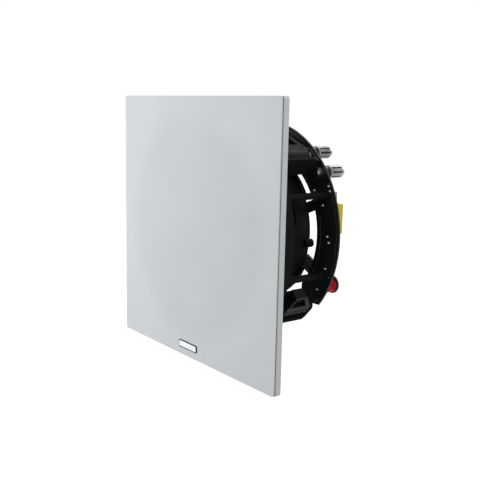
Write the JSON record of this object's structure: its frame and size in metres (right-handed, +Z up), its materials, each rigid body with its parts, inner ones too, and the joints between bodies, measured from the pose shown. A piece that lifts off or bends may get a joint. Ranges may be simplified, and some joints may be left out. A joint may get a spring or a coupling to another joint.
{
  "type": "ceiling speaker",
  "caption": "Square flush ceiling loudspeaker: pull-off perforated grille, coaxial woofer and tweeter, rear crossover board, binding posts and swing-out ceiling clamps.",
  "frame": {"origin": "on the driver axis, in the plane where the flange bears on the ceiling", "axes": "+Y along the driver axis into the ceiling; facing the grille, +X is right and +Z is up"},
  "size_m": [0.23, 0.1106, 0.23],
  "materials": {
    "white_steel": "fine satin powder coat",
    "black_cloth": "open acoustic cloth",
    "bright_plate": "brushed, bare",
    "white_moulding": "matt moulded",
    "nickel": "nickel plated",
    "black_moulding": "fine spark-eroded texture",
    "clamp_moulding": "satin moulded",
    "black_zinc": "black zinc",
    "zinc": "bright zinc",
    "board": "dark green solder mask",
    "black_gloss": "moulded, glossy",
    "knob_metal": "bright plated",
    "rubber": "matt rubber",
    "foam": "closed-cell foam",
    "cone_paper": "pressed fibre",
    "spider_cloth": "resin-stiffened cloth",
    "thin_aluminium": "thin rolled sheet",
    "copper": "enamelled wire",
    "plated_steel": "zinc-plated steel",
    "ferrite": "sintered, matt",
    "yoke_steel": "black plated steel",
    "red_wire": "soft wire insulation",
    "black_wire": "soft wire insulation",
    "dome_silk": "coated silk",
    "yellow_film": "smooth tape wrap",
    "black_sleeve": "shrink sleeve",
    "cement": "cast cement",
    "red_copper": "red enamelled wire",
    "bobbin_moulding": "moulded"
  },
  "bodies": {
    "housing": {"flange": "white_moulding", "grille_magnets": "nickel", "chassis": "black_moulding", "board_pillars": "black_moulding", "board_screws": "black_zinc", "crossover_board": "board", "post_insulators": "black_gloss", "post_studs": "nickel", "post_nuts": "zinc", "woofer_basket": "black_moulding", "woofer_screws": "black_zinc", "woofer_gasket": "foam", "woofer_surround": "rubber", "woofer_spider": "spider_cloth", "woofer_top_plate": "plated_steel", "woofer_magnet": "ferrite", "woofer_yoke": "yoke_steel", "woofer_terminal": "black_gloss", "red_leads": "red_wire", "black_leads": "black_wire", "tweeter_post": "plated_steel", "tweeter_nut": "zinc", "tweeter_cup": "black_moulding", "tweeter_motor": "ferrite", "tweeter_dome": "dome_silk", "tweeter_faceplate": "black_moulding", "film_capacitor": "yellow_film", "electrolytic_capacitor": "black_sleeve", "resistors": "cement", "treble_bobbin": "bobbin_moulding", "treble_winding": "red_copper", "bass_bobbin": "bobbin_moulding", "bass_winding": "copper"},
    "grille": {"grille_sheet": "white_steel", "grille_scrim": "black_cloth", "grille_badge": "bright_plate"},
    "cone": {"woofer_cone": "cone_paper", "voice_coil_former": "thin_aluminium", "voice_coil_winding": "copper"},
    "clamp_screw_1": {"clamp_screw_1": "zinc"},
    "clamp_insert_1": {"clamp_insert_1": "nickel"},
    "clamp_arm_1": {"clamp_arm_1": "clamp_moulding"},
    "clamp_screw_2": {"clamp_screw_2": "zinc"},
    "clamp_insert_2": {"clamp_insert_2": "nickel"},
    "clamp_arm_2": {"clamp_arm_2": "clamp_moulding"},
    "clamp_screw_3": {"clamp_screw_3": "zinc"},
    "clamp_insert_3": {"clamp_insert_3": "nickel"},
    "clamp_arm_3": {"clamp_arm_3": "clamp_moulding"},
    "clamp_screw_4": {"clamp_screw_4": "zinc"},
    "clamp_insert_4": {"clamp_insert_4": "nickel"},
    "clamp_arm_4": {"clamp_arm_4": "clamp_moulding"},
    "post_collar_1": {"post_collar_1": "black_gloss"},
    "post_knob_1": {"post_knob_1": "knob_metal"},
    "post_collar_2": {"post_collar_2": "black_gloss"},
    "post_knob_2": {"post_knob_2": "knob_metal"}
  },
  "joints": [
    {"name": "grille_pull", "type": "slide", "parent": "housing", "child": "grille", "axis": [0, -1, 0], "range_m": [0, 0.06]},
    {"name": "cone_stroke", "type": "slide", "parent": "housing", "child": "cone", "axis": [0, 1, 0], "range_m": [-0.003, 0.003], "stiffness_N_per_m": 1000, "deforming": ["woofer_surround", "woofer_spider"]},
    {"name": "clamp_1_turn", "type": "hinge", "parent": "housing", "child": "clamp_screw_1", "pos_m": [0.06195, 0.009, 0.06528], "axis": [0, 1, 0], "range_deg": [0, 6240]},
    {"name": "clamp_1_draw", "type": "slide", "parent": "housing", "child": "clamp_insert_1", "axis": [0, -1, 0], "range_m": [0, 0.026]},
    {"name": "clamp_1_swing", "type": "hinge", "parent": "clamp_insert_1", "child": "clamp_arm_1", "pos_m": [0.06195, 0.009, 0.06528], "axis": [0, 1, 0], "range_deg": [0, 90]},
    {"name": "clamp_2_turn", "type": "hinge", "parent": "housing", "child": "clamp_screw_2", "pos_m": [-0.06528, 0.009, 0.06195], "axis": [0, 1, 0], "range_deg": [0, 6240]},
    {"name": "clamp_2_draw", "type": "slide", "parent": "housing", "child": "clamp_insert_2", "axis": [0, -1, 0], "range_m": [0, 0.026]},
    {"name": "clamp_2_swing", "type": "hinge", "parent": "clamp_insert_2", "child": "clamp_arm_2", "pos_m": [-0.06528, 0.009, 0.06195], "axis": [0, 1, 0], "range_deg": [0, 90]},
    {"name": "clamp_3_turn", "type": "hinge", "parent": "housing", "child": "clamp_screw_3", "pos_m": [-0.06195, 0.009, -0.06528], "axis": [0, 1, 0], "range_deg": [0, 6240]},
    {"name": "clamp_3_draw", "type": "slide", "parent": "housing", "child": "clamp_insert_3", "axis": [0, -1, 0], "range_m": [0, 0.026]},
    {"name": "clamp_3_swing", "type": "hinge", "parent": "clamp_insert_3", "child": "clamp_arm_3", "pos_m": [-0.06195, 0.009, -0.06528], "axis": [0, 1, 0], "range_deg": [0, 90]},
    {"name": "clamp_4_turn", "type": "hinge", "parent": "housing", "child": "clamp_screw_4", "pos_m": [0.06528, 0.009, -0.06195], "axis": [0, 1, 0], "range_deg": [0, 6240]},
    {"name": "clamp_4_draw", "type": "slide", "parent": "housing", "child": "clamp_insert_4", "axis": [0, -1, 0], "range_m": [0, 0.026]},
    {"name": "clamp_4_swing", "type": "hinge", "parent": "clamp_insert_4", "child": "clamp_arm_4", "pos_m": [0.06528, 0.009, -0.06195], "axis": [0, 1, 0], "range_deg": [0, 90]},
    {"name": "post_1_rise", "type": "slide", "parent": "housing", "child": "post_collar_1", "axis": [0, 1, 0], "range_m": [0, 0.004]},
    {"name": "post_1_turn", "type": "hinge", "parent": "post_collar_1", "child": "post_knob_1", "pos_m": [0.06868, 0.085, 0.05308], "axis": [0, 1, 0], "range_deg": [0, 1440]},
    {"name": "post_2_rise", "type": "slide", "parent": "housing", "child": "post_collar_2", "axis": [0, 1, 0], "range_m": [0, 0.004]},
    {"name": "post_2_turn", "type": "hinge", "parent": "post_collar_2", "child": "post_knob_2", "pos_m": [0.05296, 0.085, 0.06877], "axis": [0, 1, 0], "range_deg": [0, 1440]}
  ],
  "couplings": [
    {"joint": "clamp_1_turn", "follows": "clamp_1_draw", "rad_per_m": 4188.4},
    {"joint": "clamp_2_turn", "follows": "clamp_2_draw", "rad_per_m": 4188.4},
    {"joint": "clamp_3_turn", "follows": "clamp_3_draw", "rad_per_m": 4188.4},
    {"joint": "clamp_4_turn", "follows": "clamp_4_draw", "rad_per_m": 4188.4},
    {"joint": "post_1_turn", "follows": "post_1_rise", "rad_per_m": 6282.6},
    {"joint": "post_2_turn", "follows": "post_2_rise", "rad_per_m": 6282.6}
  ]
}
